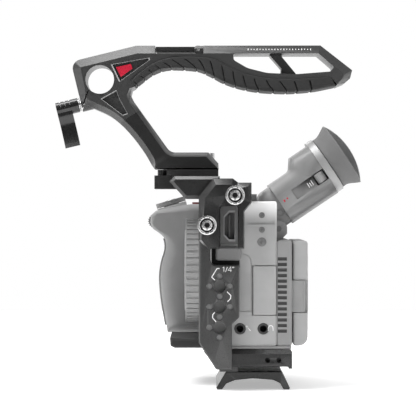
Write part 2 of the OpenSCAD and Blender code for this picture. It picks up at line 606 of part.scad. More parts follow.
module cage_bolts() color("silver") {
    for (x = cage_bolt_x) ycyl(x, cage_bolt_z, 1.5, cage_y + 2.6, plate_y1 + 6, 32);
    for (y = foot_bolt_y) translate([foot_x, y, 5.8]) cylinder(r = 1.7, h = 8.4, $fn = 32);
}

bracket_bolt = [[-0.5, 84.5], [13.7, 99.7]];
bracket_y0 = cage_y - 6.3;
module hdmi_bracket() color("#262626") difference() {
    plate(rounded([[-0.5, 72.6, 0.4, 0.2], [6.3, 72.6, 0.4, 0.2], [6.3, 94.1, 1, 0.2],
        [15.1, 94.1, 1, 0.2], [15.1, 72.6, 0.4, 0.2],
                   [18.5, 72.6, 0.4, 0.2], [18.5, 91.5, 1.2, 0.2], [22.1, 95.7, 1.2, 0.2],
                       [22.1, 106.1, 0.4, 0.6], [15.3, 106.1, 0.4, 1],
                   [12.6, 108.2, 0.4, 1], [2.5, 108.2, 0.6, 1], [-4.7, 99.2, 0.8, 1], [-4.7, 76.6, 0.6, 0.4]]),
          bracket_y0, cage_y - 0.02, 3.2);
    for (b = bracket_bolt) {
        ycyl(b[0], b[1], 2.1, bracket_y0 - 1, cage_y + 1);
        ycyl(b[0], b[1], 4.95, bracket_y0 - 1, bracket_y0 + 2.2);
    }
}

module bracket_bolts() color("silver") for (b = bracket_bolt) {
    difference() {
        ycyl(b[0], b[1], 4.9, bracket_y0 - 1.3, bracket_y0 + 2.15, 64);
        ycyl(b[0], b[1], 3.6, bracket_y0 - 2, bracket_y0 + 1.6, 64);
    }
    difference() {
        union() {
            ycyl(b[0], b[1], 2.7, bracket_y0 - 0.6, bracket_y0 + 1.65);
            ycyl(b[0], b[1], 1.5, bracket_y0 + 1.5, bracket_y0 + 10);
        }
        ycyl(b[0], b[1], 1.5, bracket_y0 - 1, bracket_y0 + 1, 6);
    }
}

// ---------- top handle ----------

foot_bolt_x = [-12, 0];

module rail_block() color("#1c1c1c") difference() {
    slab([[-18.9, 109.45], [5.5, 109.45], [5.5, 113.65], [-21.8, 113.65], [-21.8, 110.45], [-18.9, 110.45]],
         handle_y0 + 0.5, handle_y1 - 0.5);
    for (x = foot_bolt_x) translate([x, lens_y, 105]) cylinder(r = 2, h = 10, $fn = 32);
}

module handle_lock_screw() color("dimgray") translate([-24.5, lens_y - 8, 0]) difference() {
    union() {
        translate([0, 0, 110.5]) cylinder(r = 2.2, h = 2.85);
        translate([0, 0, 107]) cylinder(r = 1.2, h = 4, $fn = 24);
    }
    for (k = [0:11]) rotate(30 * k) translate([2, -0.25, 110]) cube([1, 0.5, 4]);
}

// The arm and the head are one shape, parted along the line from split_a to split_b.
split_a = [-46.6, 137.9];
split_b = [-35.9, 145.1];
module handle_body() plate(handle_outline(), handle_y0, handle_y1, 4.4);
module under_split(gap) {
    d = (split_b - split_a) / norm(split_b - split_a);
    n = [d[1], -d[0]];
    a = split_a - 20 * d + gap * n;
    b = split_b + 20 * d + gap * n;
    slab([a, a + 60 * n, b + 60 * n, b], handle_y0 - 1, handle_y1 + 1);
}
module handle_arm() color("#202020") difference() {
    intersection() {
        handle_body();
        under_split(0.03);
    }
    for (x = foot_bolt_x) translate([x, lens_y, 0]) {
        translate([0, 0, 110]) cylinder(r = 2, h = 20, $fn = 32);
        translate([0, 0, 119.4]) cylinder(r = 3.7, h = 5);
    }
    split_screw(1.8);
}

// The long bolt that draws the arm against the head, square to the split.
module split_screw(r) translate([(split_a[0] + split_b[0]) / 2, lens_y, (split_a[1] + split_b[1]) / 2])
    rotate([0, 180 - 35.8, 0]) translate([0, 0, -9]) cylinder(r = r, h = 18, $fn = 32);

// Upper edge of the rubber, from the front end to the rear end.
grip_top = [[-40.7, 159.9], [-37.1, 163.6], [-30.5, 168.4], [-25.1, 171], [-18, 172.6], [-7, 172.9],
    [2.8, 171.7],
            [12, 167.3], [20, 163.9], [29, 162], [39, 161.2], [51, 161.4], [62.7, 162]];
// Lower edge of the rubber.
grip_under = [[-38.6, 157.2], [-35, 160.4], [-29.5, 164.4], [-22.5, 166.9], [-14, 167.1], [-5, 166.2],
    [1, 163.7],
              [8.5, 159.8], [17.2, 156.9], [27, 155.1], [39, 154.4], [54.5, 155.1], [67.8, 157.4]];
grip_end = [[67.8, 157.4], [65.6, 161.2]];

// Front edge of the arm, from the clamp side down to the foot.
arm_front = [[-65, 148.2], [-60.3, 145.9], [-55.2, 143.7], [-51, 141.4], [-46.6, 137.9], [-41.8, 133.1],
    [-36.9, 127.1],
             [-32.6, 120.9], [-29.6, 115.6]];

function handle_outline() = concat(
    [[-28.2, 113.7, 0.14], [5.7, 113.7, 0.14], [5.5, 116.8, 0.5], [0.1, 122.6, 0.55]],
    corner([0.1, 122.6], [-19.9, 122.6], [-39.6, 150], 5, 0.55, 6),
    [[-39.6, 150, 0.5], [-41, 153, 0.4], [-40.4, 155.8, 0.2], [-38.6, 157.2, 0]],
    smooth(grip_top, 3, 0), [[62.7, 162, 0]],
    [[65.6, 161.2, 0], [67.8, 157.4, 0.2], [72.2, 159.2, 0.6], [75.2, 161.8, 0.8]],
    [[76.3, 166.1, 1], [59.5, 179.2, 1], [-38, 179.1, 1]],
    corner([-38, 179.1], [-72.6, 170.6], [-68.4, 153.2], 4.8, 1, 6),
    [[-68.4, 153.2, 0.9], [-67.4, 150.4, 0.7]],
    smooth(arm_front, 2, 0.65), [last(arm_front, 0.5)]);

window = [[13.2, 174.8, 1.2], [13.6, 171.2, 2], [20.8, 167, 12], [31.2, 164.4, 20], [46.7, 163.8, 30],
    [64.6, 165.2, 1.2], [66.6, 167.6, 1.2], [58.2, 174.8, 1]];
pocket_a = [[-51, 168.8, 0.8], [-46.7, 159.8, 0.8], [-30.6, 171.4, 0.6], [-31.2, 172.4, 0.4]];
pocket_b = [[-48.4, 155.2, 0.6], [-56.4, 150.7, 0.8], [-44.9, 142, 0.8], [-42.4, 142.9, 0.6],
    [-46.6, 150.6, 3]];
pocket_d = 2.4;
key_pivot = [-5.2, 176.9];
clamp_at = [-80.6, 145.4];
clamp_tilt = 13.5;
// Frame of the rod clamp: X runs along the screw towards the handle, -Z to the lever end.
module clamp_frame() translate([clamp_at[0], lens_y, clamp_at[1]]) rotate([0, -clamp_tilt, 0]) children();

module handle_head() color("#202020") difference() {
    union() {
        difference() {
            handle_body();
            under_split(0);
        }
        clamp_frame() translate([13.4, 0, 0]) rotate([0, 90, 0]) cylinder(r = 4.2, h = 11);
    }
    ycyl(rod_x, rod_z, rod_r, handle_y0 - 1, handle_y1 + 1, 96);
    slab(rounded(window, 6), handle_y0 - 1, handle_y1 + 1);
    for (y = [[handle_y0 - 1, handle_y0 + pocket_d], [handle_y1 - pocket_d, handle_y1 + 1]]) {
        slab(rounded(pocket_a), y[0], y[1]);
        slab(rounded(pocket_b), y[0], y[1]);
    }
    slab([[-67.6, 145.3], [-66.9, 145], [-62.4, 155.8], [-63.1, 156.1]], handle_y0 - 1, handle_y1 + 1);
    clamp_frame() xcyl(0, 0, 1.95, 10, 24.5, 32);
    difference() {
        box([-28, handle_y0 - 1, 174.6], [-2.4, handle_y1 + 1, 181]);
        for (y = [lens_y - 11.6, lens_y + 9.4]) {
            ycyl(key_pivot[0], key_pivot[1], 2.3, y, y + 2.2);
            box([key_pivot[0], y, 174], [-2, y + 2.2, 179]);
        }
    }
    ycyl(key_pivot[0], key_pivot[1], 0.8, lens_y - 12, lens_y + 12, 32);
    split_screw(1.8);
}

module foot_bolts() color("silver") {
    for (x = foot_bolt_x) translate([x, lens_y, 0]) difference() {
        union() {
            translate([0, 0, 104]) cylinder(r = 1.9, h = 16, $fn = 32);
            translate([0, 0, 119.45]) cylinder(r = 3.5, h = 3);
        }
        translate([0, 0, 120.8]) cylinder(r = 1.7, h = 3, $fn = 6);
    }
    intersection() {
        split_screw(1.75);
        translate([(split_a[0] + split_b[0]) / 2, lens_y, (split_a[1] + split_b[1]) / 2])
            rotate([0, 180 - 35.8, 0])
            translate([0, 0, -8.8]) cylinder(r = 1.75, h = 17.6, $fn = 32);
    }
}

function rubber_outline() = concat(smooth(grip_under, 3, 1), [[67.8, 157.4, 1], [65.6, 161.18, 1]],
    backwards([for (p = concat(smooth(grip_top, 3, 0), [[62.7, 162, 0]])) [p[0], p[1] - 0.02, 0.15]]));
module handle_rubber() color("#2a2a2a") pillow(rubber_outline(), lens_y - rubber_w / 2,
    lens_y + rubber_w / 2, 1.8, 3);

module handle_strut() color("#181818") slab([[38.7, 164.75], [46.6, 164.35], [39.1, 173.4], [39.1, 174.75],
    [32.8, 174.75], [32.9, 173.9], [38.8, 167.2]],
    lens_y - 8, lens_y + 8);

module accent_inlay() color("crimson") for (y = [handle_y0 + 0.9, handle_y1 - pocket_d + 0.02])
    slab(rounded([[-48.6, 167.5, 0.4], [-46, 162.3, 0.4], [-39.9, 166.8, 0.4],
        [-40.7, 169.3, 0.4]]), y, y + pocket_d - 0.92);

module clamp_washer() color("silver") clamp_frame() difference() {
    xcyl(0, 0, 3.6, 11.95, 12.75);
    xcyl(0, 0, 2, 11, 14, 32);
}

module clamp_screw() color("silver") clamp_frame() {
    xcyl(0, 0, 1.85, 3, 24, 32);
}

// The lever blade in its own X (down) and Y (across) plane: a slim S-curve.
blade = [[0, -3.2], [4, -3.4], [8.5, -2.4], [13.5, -2.6], [17.6, -3.8], [21.2, -5.4]];
module clamp_lever() color("#303030") clamp_frame() {
    difference() {
        union() {
            xcyl(0, 0, 4, 0, 11.9);
            rotate([0, 90, 0]) linear_extrude(lever_w)
                polygon(concat([for (p = smooth(blade, 3)) [p[0], p[1]]], [[21.2, -5.4], [21.2, -3]],
                    backwards([for (p = smooth(blade, 3)) [p[0],
                        p[1] + (p[0] < 6 ? 5.6 - p[0] * 0.35 : 2.6)]])));
        }
        xcyl(0, 0, 1.95, 2.5, 13, 32);
        for (x = [1.9, 4.4, 6.9]) difference() {
            xcyl(0, 0, 5, x, x + 0.8);
            xcyl(0, 0, 3.5, x - 1, x + 2);
            box([-1, -9, -9], [12, 9, -0.5]);
        }
    }
}

module tool_key() color("#1a1a1a") difference() {
    union() {
        box([-27.6, lens_y - 9.05, 176], [key_pivot[0], lens_y + 9.05, 178.6]);
        ycyl(key_pivot[0], key_pivot[1], 1.9, lens_y - 9.05, lens_y + 9.05);
    }
    ycyl(key_pivot[0], key_pivot[1], 0.85, lens_y - 12, lens_y + 12, 32);
    box([-25, lens_y - 6, 177.9], [-10, lens_y + 6, 180]);
}

module tool_pin() color("silver") ycyl(key_pivot[0], key_pivot[1], 0.8, lens_y - 11.6, lens_y + 11.6, 32);

front_casing();
rear_casing();
top_deck();
base_cover();
mount_ring();
body_cap();
image_sensor();
main_board();
fan_frame();
fan_rotor();
grip_shell();
grip_skin();
battery_pack();
battery_door();
shutter_button();
zoom_lever();
front_dial();
record_button();
control_dial();
top_buttons();
accessory_shoe();
hdmi_socket();
port_flap();
port_door();
usb_socket();
audio_jacks();
side_screws();
strap_lug();
lcd_hinge();
lcd_housing();
lcd_screen();
evf_base();
evf_hinge_pin();
evf_barrel();
evf_collar();
eyecup();
evf_lens();
diopter_wheel();
cage_side_plate();
cage_top_plate();
cage_base_plate();
cage_front_block();
dovetail_foot();
camera_screw();
cage_bolts();
hdmi_bracket();
bracket_bolts();
rail_block();
handle_lock_screw();
handle_arm();
handle_head();
foot_bolts();
handle_rubber();
handle_strut();
accent_inlay();
clamp_washer();
clamp_screw();
clamp_lever();
tool_key();
tool_pin();
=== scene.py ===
"""Cinema camera rig: looks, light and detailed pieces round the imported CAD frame. Lengths are in metres."""

import json
import math

import bmesh
import bpy
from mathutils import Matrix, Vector


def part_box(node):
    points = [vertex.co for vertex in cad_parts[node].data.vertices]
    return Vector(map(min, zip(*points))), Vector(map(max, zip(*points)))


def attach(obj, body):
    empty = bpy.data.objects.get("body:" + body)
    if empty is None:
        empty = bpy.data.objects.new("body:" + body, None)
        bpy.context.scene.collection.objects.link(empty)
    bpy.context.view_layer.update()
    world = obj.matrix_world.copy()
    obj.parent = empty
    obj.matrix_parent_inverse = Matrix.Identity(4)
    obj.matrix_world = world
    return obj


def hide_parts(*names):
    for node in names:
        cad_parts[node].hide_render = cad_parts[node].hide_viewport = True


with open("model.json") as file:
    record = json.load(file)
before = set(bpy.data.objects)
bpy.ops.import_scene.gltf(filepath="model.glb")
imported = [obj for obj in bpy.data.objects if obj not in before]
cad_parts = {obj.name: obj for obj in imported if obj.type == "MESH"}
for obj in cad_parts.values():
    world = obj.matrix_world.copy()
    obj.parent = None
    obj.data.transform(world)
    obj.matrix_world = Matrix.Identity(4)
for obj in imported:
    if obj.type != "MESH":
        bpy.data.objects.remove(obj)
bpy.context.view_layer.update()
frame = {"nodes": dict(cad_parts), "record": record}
nodes = frame["nodes"]
slots = {row["node"]: row["material_slot"] for row in frame["record"]["subparts"]}
MM = 0.001


# ---------- camera, stage and light ----------

LOOK_Z = 93.2 * MM     # height of the camera and of the middle of the picture
PLANE_Y = -33 * MM     # the plane that the field's width is measured in
DISTANCE = 1.2         # from the camera to that plane
FIELD = 218.15 * MM
SENSOR = 36.0
FLOOR_R = 0.85
FLOOR_COUNT = 96       # corners of the round floor
FLOOR_TONE = 0.93
FLOOR_GLOW = 0.4
STUDIO_DIM = 0.12      # brightness of the studio behind the camera; the wall behind the object is 1
STUDIO_TURN = (-0.5, 0.7)   # where the studio goes from dim to bright, as the Y of the view direction
# Name, place, size, power and, where it isn't the middle of the object, what the light aims at.
LIGHTS = [
    ("key", (-0.75, -0.8, 0.95), (0.6, 0.6), 6.5),
    ("fill", (0.5, -1.1, 0.35), (0.8, 0.6), 1.6),
    ("top", (-0.43, -0.1, 1.05), (0.5, 0.85), 10),
    ("strip", (-0.025, -0.07, 0.45), (0.08, 0.12), 0.22, (-0.025, -0.07, 0)),
    ("left", (-1.1, -0.05, 0.05), (0.6, 0.5), 0.7),
    ("right", (0.9, 0.05, 0.55), (0.5, 0.5), 1.5),
    ("back", (-0.4, 0.9, 0.7), (0.8, 0.5), 2),
]


def make_camera():
    data = bpy.data.cameras.new("camera")
    data.sensor_width = SENSOR
    data.lens = SENSOR * DISTANCE / FIELD
    data.clip_end = 20
    cam = bpy.data.objects.new("camera", data)
    cam.location = (0, PLANE_Y - DISTANCE, LOOK_Z)
    cam.rotation_euler = (math.radians(90), 0, 0)
    bpy.context.collection.objects.link(cam)
    bpy.context.scene.camera = cam


def make_floor():
    """A round white table; past its rim the camera sees the bright studio wall."""
    mesh = bpy.data.meshes.new("floor")
    turn = [2 * math.pi * k / FLOOR_COUNT for k in range(FLOOR_COUNT)]
    rim = [(FLOOR_R * math.cos(g), FLOOR_R * math.sin(g), 0) for g in turn]
    mesh.from_pydata(rim, [], [tuple(range(FLOOR_COUNT))])
    floor = bpy.data.objects.new("floor", mesh)
    floor.location.z = -0.15 * MM
    bpy.context.collection.objects.link(floor)
    mat = bpy.data.materials.new("floor")
    mat.use_nodes = True
    shader = mat.node_tree.nodes["Principled BSDF"]
    shader.inputs["Base Color"].default_value = (FLOOR_TONE, FLOOR_TONE, FLOOR_TONE, 1)
    shader.inputs["Emission Color"].default_value = (1, 1, 1, 1)
    shader.inputs["Emission Strength"].default_value = FLOOR_GLOW
    shader.inputs["Roughness"].default_value = 0.9
    shader.inputs["Specular IOR Level"].default_value = 0.1
    mesh.materials.append(mat)


def area_light(name, place, size, power, target=(0, 0, 0.09)):
    data = bpy.data.lights.new(name, "AREA")
    data.shape = "RECTANGLE"
    data.size, data.size_y = size
    data.energy = power
    light = bpy.data.objects.new(name, data)
    light.location = place
    aim = Vector(target) - Vector(place)
    light.rotation_euler = aim.to_track_quat("-Z", "Y").to_euler()
    bpy.context.collection.objects.link(light)


def make_lights():
    world = bpy.data.worlds.new("world")
    bpy.context.scene.world = world
    world.use_nodes = True
    tree = world.node_tree
    back = tree.nodes["Background"]
    back.inputs["Color"].default_value = (1, 1, 1, 1)
    coords = tree.nodes.new("ShaderNodeTexCoord")
    parts = tree.nodes.new("ShaderNodeSeparateXYZ")
    tree.links.new(coords.outputs["Generated"], parts.inputs["Vector"])
    wall = tree.nodes.new("ShaderNodeMapRange")
    wall.interpolation_type = "SMOOTHSTEP"
    wall.inputs["From Min"].default_value, wall.inputs["From Max"].default_value = STUDIO_TURN
    wall.inputs["To Min"].default_value = STUDIO_DIM
    wall.inputs["To Max"].default_value = 1.0
    tree.links.new(parts.outputs["Y"], wall.inputs["Value"])
    tree.links.new(wall.outputs["Result"], back.inputs["Strength"])
    for row in LIGHTS:
        area_light(*row)
    view = bpy.context.scene.view_settings
    view.view_transform = "Standard"
    view.look = "None"


make_camera()
make_floor()
make_lights()


# ---------- materials ----------

def new_material(name):
    mat = bpy.data.materials.new(name)
    mat.use_nodes = True
    tree = mat.node_tree
    return mat, tree, tree.nodes["Principled BSDF"]


def noise(tree, scale, detail=3.0, stretch=(1, 1, 1)):
    """Noise in the piece's own coordinates, so that it moves with the piece."""
    coords = tree.nodes.new("ShaderNodeTexCoord")
    mapping = tree.nodes.new("ShaderNodeMapping")
    mapping.inputs["Scale"].default_value = stretch
    tex = tree.nodes.new("ShaderNodeTexNoise")
    tex.inputs["Scale"].default_value = scale
    tex.inputs["Detail"].default_value = detail
    tree.links.new(coords.outputs["Object"], mapping.inputs["Vector"])
    tree.links.new(mapping.outputs["Vector"], tex.inputs["Vector"])
    return tex


def spread(tree, value, low, high):
    """The middle range of a noise value, stretched to run from low to high."""
    node = tree.nodes.new("ShaderNodeMapRange")
    node.inputs["From Min"].default_value = 0.3
    node.inputs["From Max"].default_value = 0.7
    node.inputs["To Min"].default_value = low
    node.inputs["To Max"].default_value = high
    tree.links.new(value, node.inputs["Value"])
    return node.outputs["Result"]


def blend_colour(tree, factor, a, b):
    node = tree.nodes.new("ShaderNodeMix")
    node.data_type = "RGBA"
    tree.links.new(factor, node.inputs["Factor"])
    for socket, colour in (("A", a), ("B", b)):
        target = [s for s in node.inputs if s.name == socket and s.type == "RGBA"][0]
        if isinstance(colour, tuple):
            target.default_value = (*colour, 1)
        else:
            tree.links.new(colour, target)
    return [s for s in node.outputs if s.type == "RGBA"][0]


def surface(name, grey, rough=0.5, metal=0.0, grain=1500, bump=0.12, vary=0.04, stretch=(1, 1, 1),
            edge=0.0, coat=0.0, tint=(1, 1, 1), spec=0.5):
    """A painted, anodised or moulded surface: cloudy tone, fine grain and, with edge, lighter edges that are
    partly rubbed wear and partly painted highlight.
    """
    mat, tree, shader = new_material(name)
    tone = noise(tree, 140, 5)
    factor = spread(tree, tone.outputs["Fac"], 0, 1)
    dark = tuple(grey * (1 - vary) * t for t in tint)
    light = tuple(min(1, grey * (1 + vary)) * t for t in tint)
    colour = blend_colour(tree, factor, dark, light)
    if edge:
        # Lighter colour at sharp edges: partly rubbed wear, partly painted highlight.
        geometry = tree.nodes.new("ShaderNodeNewGeometry")
        edge_rub_and_highlight = tree.nodes.new("ShaderNodeMapRange")
        edge_rub_and_highlight.inputs["From Min"].default_value = 0.52
        edge_rub_and_highlight.inputs["From Max"].default_value = 0.6
        edge_rub_and_highlight.inputs["To Max"].default_value = edge
        tree.links.new(geometry.outputs["Pointiness"], edge_rub_and_highlight.inputs["Value"])
        worn_and_lit_edge = tuple(min(1, grey * 1.5 + 0.08) * t for t in tint)
        colour = blend_colour(tree, edge_rub_and_highlight.outputs["Result"], colour, worn_and_lit_edge)
    tree.links.new(colour, shader.inputs["Base Color"])
    fine = noise(tree, grain, 3, stretch)
    roughness = spread(tree, fine.outputs["Fac"], rough * 0.85, min(1, rough * 1.15))
    tree.links.new(roughness, shader.inputs["Roughness"])
    relief = tree.nodes.new("ShaderNodeBump")
    relief.inputs["Strength"].default_value = bump
    relief.inputs["Distance"].default_value = 0.1 * MM
    tree.links.new(fine.outputs["Fac"], relief.inputs["Height"])
    tree.links.new(relief.outputs["Normal"], shader.inputs["Normal"])
    shader.inputs["Metallic"].default_value = metal
    shader.inputs["Specular IOR Level"].default_value = spec
    shader.inputs["Coat Weight"].default_value = coat
    shader.inputs["Coat Roughness"].default_value = 0.15
    return mat


def paint_top_highlight(mat, start, end, grey, face_y):
    """A painted highlight in the base colour that grows with height on the port side, where the panel turns up
    towards the light.
    """
    tree = mat.node_tree
    shader = tree.nodes["Principled BSDF"]
    base = shader.inputs["Base Color"].links[0].from_socket
    parts = tree.nodes.new("ShaderNodeSeparateXYZ")
    coords = tree.nodes.new("ShaderNodeTexCoord")
    tree.links.new(coords.outputs["Object"], parts.inputs["Vector"])
    rise = tree.nodes.new("ShaderNodeMapRange")
    rise.interpolation_type = "SMOOTHSTEP"
    rise.inputs["From Min"].default_value = start * MM
    rise.inputs["From Max"].default_value = end * MM
    tree.links.new(parts.outputs["Z"], rise.inputs["Value"])
    near = tree.nodes.new("ShaderNodeMapRange")
    near.inputs["From Min"].default_value = (face_y + 3) * MM
    near.inputs["From Max"].default_value = face_y * MM
    tree.links.new(parts.outputs["Y"], near.inputs["Value"])
    both = tree.nodes.new("ShaderNodeMath")
    both.operation = "MULTIPLY"
    tree.links.new(rise.outputs["Result"], both.inputs[0])
    tree.links.new(near.outputs["Result"], both.inputs[1])
    colour = blend_colour(tree, both.outputs["Value"], base, (grey, grey, grey))
    tree.links.new(colour, shader.inputs["Base Color"])


def leather(name, grey):
    """Grained rubber skin: rounded cells pressed into the surface."""
    mat = surface(name, grey, rough=0.62, grain=900, bump=0.1, vary=0.1)
    tree = mat.node_tree
    coords = tree.nodes.new("ShaderNodeTexCoord")
    cells = tree.nodes.new("ShaderNodeTexVoronoi")
    cells.feature = "DISTANCE_TO_EDGE"
    cells.inputs["Scale"].default_value = 900
    tree.links.new(coords.outputs["Object"], cells.inputs["Vector"])
    relief = tree.nodes.new("ShaderNodeBump")
    relief.inputs["Strength"].default_value = 0.5
    relief.inputs["Distance"].default_value = 0.25 * MM
    tree.links.new(cells.outputs["Distance"], relief.inputs["Height"])
    tree.links.new(relief.outputs["Normal"], tree.nodes["Principled BSDF"].inputs["Normal"])
    return mat


def glass(name, tint):
    """Coated glass over something dark: a deep tone with a gloss coat and a faint smear of grease."""
    return surface(name, 1.0, rough=0.1, grain=120, bump=0.01, vary=0.05, tint=tint, coat=1.0)


SURFACES = {
    "casing_silver": dict(grey=0.38, rough=0.45, grain=2600, bump=0.15),
    "casing_grey": dict(grey=0.215, rough=0.6, grain=2200, bump=0.2),
    "casing_dark": dict(grey=0.27, rough=0.6, grain=2200, bump=0.2),
    "steel_mount": dict(grey=0.55, rough=0.3, metal=1.0, grain=700, stretch=(1, 1, 12)),
    "cap_plastic": dict(grey=0.33, rough=0.55, grain=2400, bump=0.2),
    "circuit_board": dict(grey=0.2, rough=0.35, tint=(0.3, 1, 0.45), grain=500),
    "fan_black": dict(grey=0.02, rough=0.5),
    "battery_plastic": dict(grey=0.06, rough=0.6),
    "button_metal": dict(grey=0.4, rough=0.35, metal=0.8),
    "dial_dark": dict(grey=0.16, rough=0.5, edge=0.3),
    "record_red": dict(grey=0.16, rough=0.35, tint=(1, 0.12, 0.12), coat=0.3),
    "socket_metal": dict(grey=0.35, rough=0.35, metal=1.0),
    "flap_rubber": dict(grey=0.2, rough=0.75, grain=1800),
    "socket_plastic": dict(grey=0.035, rough=0.5),
    "screw_steel": dict(grey=0.6, rough=0.28, metal=1.0, grain=900),
    "finder_grey": dict(grey=0.225, rough=0.5, grain=2200, bump=0.2),
    "collar_metal": dict(grey=0.33, rough=0.4, metal=0.3, grain=1500),
    "cup_rubber": dict(grey=0.16, rough=0.8, grain=2600, bump=0.25, spec=0.3),
    "wheel_grey": dict(grey=0.3, rough=0.5, edge=0.3),
    "black_anodised": dict(grey=0.012, rough=0.3, metal=0.2, spec=0.6, grain=3200, bump=0.2, edge=0.35,
                           vary=0.08),
    "block_rubber": dict(grey=0.02, rough=0.7, grain=1800),
    "bolt_chrome": dict(grey=0.66, rough=0.24, metal=1.0, grain=2500, bump=0.01),
    "screw_dark": dict(grey=0.03, rough=0.35, metal=0.5, edge=0.5),
    "handle_anodised": dict(grey=0.014, rough=0.32, metal=0.2, grain=3200, bump=0.2, edge=0.35, vary=0.08),
    "handle_grip": dict(grey=0.028, rough=0.68, grain=2600, bump=0.3, spec=0.35),
    "accent_red": dict(grey=0.62, rough=0.35, tint=(1, 0.02, 0.07), grain=2500, metal=0.2),
    "lever_black": dict(grey=0.02, rough=0.16, metal=0.4, grain=600, bump=0.04, coat=0.5),
}
materials = {name: surface(name, **values) for name, values in SURFACES.items()}
# Pieces with their slot's finish, and the factor on its grey: lit and shaded copies, painted lighter or darker
# for how the light falls on each.
LIT_AND_SHADED = {"cage_side_plate": 2.6, "cage_base_plate": 0.5, "dovetail_foot": 0.6, "hdmi_bracket": 0.3,
          "lcd_housing": 1.7, "hdmi_socket": 4.0}
# Painted highlight on the upper port side of the silver casing.
paint_top_highlight(materials["casing_silver"], start=85, end=96, grey=0.95, face_y=-53)
materials["grip_rubber"] = leather("grip_rubber", 0.2)
materials["sensor_glass"] = glass("sensor_glass", (0.02, 0.03, 0.09))
materials["screen_glass"] = glass("screen_glass", (0.012, 0.014, 0.018))
materials["lens_glass"] = glass("lens_glass", (0.03, 0.045, 0.07))
materials["print_white"] = surface("print_white", 0.8, rough=0.6, grain=3000, vary=0.05)
materials["print_dark"] = surface("print_dark", 0.03, rough=0.6, grain=3000)
# Painted shade for the bottoms of the rubber's grooves.
materials["groove_shade_black"] = surface("groove_shade_black", 0.006, rough=0.9, grain=900, spec=0.1)
# Painted shade: black for sheets put in gaps and holes where shadow falls.
materials["painted_shade_black"] = surface("painted_shade_black", 0.008, rough=0.85, grain=900)


# ---------- the CAD nodes: softened edges and finishes ----------

WELD = 0.002 * MM
# Width of the softened edges in millimetres: fine pieces, broad ones and the rest.
FINE_EDGE, PLAIN_EDGE = 0.12, 0.25
FINE = {"hdmi_socket", "usb_socket", "audio_jacks", "side_screws", "diopter_wheel", "front_dial",
        "control_dial", "body_cap", "fan_rotor", "handle_lock_screw", "tool_pin", "top_buttons",
        "port_flap", "zoom_lever", "shutter_button", "record_button", "accent_inlay", "grip_skin",
        "port_door"}
BROAD = {"handle_head": 0.55, "handle_arm": 0.55, "hdmi_bracket": 0.4, "cage_side_plate": 0.35,
         "cage_top_plate": 0.35, "cage_base_plate": 0.4, "dovetail_foot": 0.3, "front_casing": 0.4}
NO_BEVEL = {"eyecup", "handle_rubber", "grip_shell", "evf_lens"}


def finish_node(name, obj):
    """Its slot's material, or a lit or shaded copy of it with painted light and shade, and softened edges with
    smooth shading.
    """
    if name in LIT_AND_SHADED:
        values = dict(SURFACES[slots[name]])
        values["grey"] *= LIT_AND_SHADED[name]
        materials[name] = surface(name, **values)
    obj.data.materials.clear()
    obj.data.materials.append(materials.get(name, materials[slots[name]]))
    for face in obj.data.polygons:
        face.use_smooth = True
        face.material_index = 0
    weld = obj.modifiers.new("weld", "WELD")
    weld.merge_threshold = WELD
    if name not in NO_BEVEL:
        bevel = obj.modifiers.new("bevel", "BEVEL")
        bevel.width = (FINE_EDGE if name in FINE else BROAD.get(name, PLAIN_EDGE)) * MM
        bevel.segments = 2
        bevel.limit_method = "ANGLE"
        bevel.angle_limit = math.radians(32)
        bevel.harden_normals = False
    normals = obj.modifiers.new("normals", "WEIGHTED_NORMAL")
    normals.keep_sharp = True
    normals.weight = 50


for name, obj in nodes.items():
    finish_node(name, obj)


# ---------- helpers for the detailed pieces ----------

def piece(name, verts, faces, body, slot, material=None, replaces=(), smooth=True):
    """A new visible mesh that rides on body. material is only given where its look isn't the slot's."""
    mesh = bpy.data.meshes.new(name)
    mesh.from_pydata([tuple(v) for v in verts], [], faces)
    mesh.validate()
    obj = bpy.data.objects.new(name, mesh)
    bpy.context.collection.objects.link(obj)
    tidy = bmesh.new()
    tidy.from_mesh(mesh)
    bmesh.ops.recalc_face_normals(tidy, faces=tidy.faces)
    tidy.to_mesh(mesh)
    tidy.free()
    for face in mesh.polygons:
        face.use_smooth = smooth
    mesh.materials.append(materials[material or slot])
    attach(obj, body)
    if replaces:
        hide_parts(*replaces)
    return obj


def ring_faces(rings, count, closed_ends=True):
    """Quads between rings of the same count, and a face over each end unless closed_ends is off."""
    faces = []
    for r in range(rings - 1):
        for k in range(count):
            j = (k + 1) % count
            faces.append((r * count + k, r * count + j, (r + 1) * count + j, (r + 1) * count + k))
    if closed_ends:
        faces.append(tuple(range(count)))
        faces.append(tuple((rings - 1) * count + k for k in range(count)))
    return faces


def spline(knots, t):
    """A point on the smooth curve through the knots, at t from 0 to 1."""
    span = t * (len(knots) - 1)
    i = min(int(span), len(knots) - 2)
    u = span - i
    p0, p1 = knots[max(i - 1, 0)], knots[i]
    p2, p3 = knots[i + 1], knots[min(i + 2, len(knots) - 1)]
    return tuple(0.5 * (2 * b + (c - a) * u + (2 * a - 5 * b + 4 * c - d) * u * u
                        + (3 * b - a - 3 * c + d) * u ** 3) for a, b, c, d in zip(p0, p1, p2, p3))


# ---------- ribbed rubber of the handle ----------

